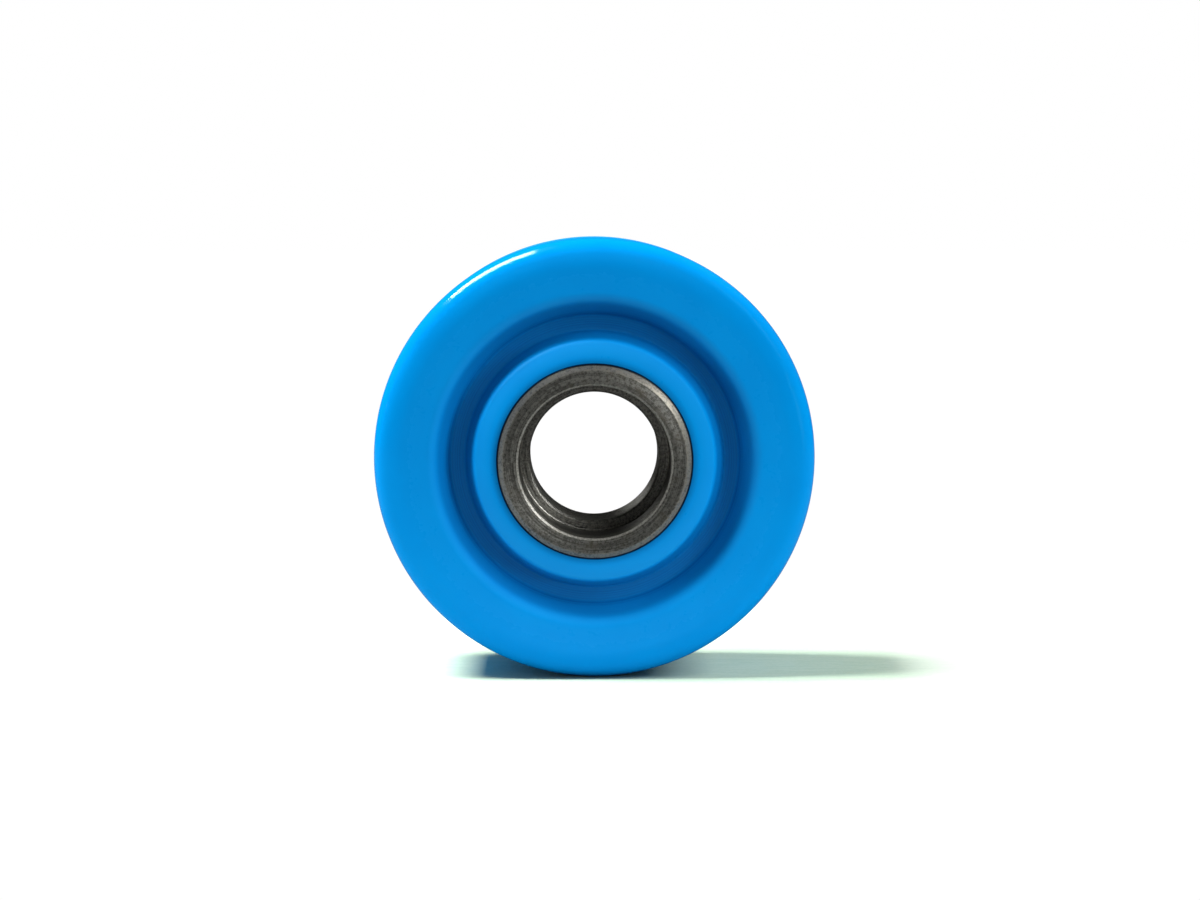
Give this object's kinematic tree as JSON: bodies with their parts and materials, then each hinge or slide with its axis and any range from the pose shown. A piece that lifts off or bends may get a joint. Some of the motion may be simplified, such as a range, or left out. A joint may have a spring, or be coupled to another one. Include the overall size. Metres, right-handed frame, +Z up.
{
  "type": "bored castor wheel with polyurethane tyre",
  "caption": "Small wheel with a thick cast polyurethane tyre bonded to a turned steel sleeve; each end of the sleeve is bored as a seat for a ball bearing.",
  "frame": {"origin": "centre of the wheel, on its axis and midway between its two faces", "axes": "+Y along the wheel's axis, towards the back face; +Z up when the wheel stands on its tread; +X to the right seen from the front, -Y, side"},
  "size_m": [0.064, 0.024, 0.064],
  "materials": {
    "tyre": "smooth glossy cast polyurethane, opaque bright blue, left as moulded",
    "sleeve": "dull turned steel with fine concentric tool marks, uncoated"
  },
  "bodies": {
    "root": {"tyre": "tyre", "hub_sleeve": "sleeve"}
  },
  "joints": []
}
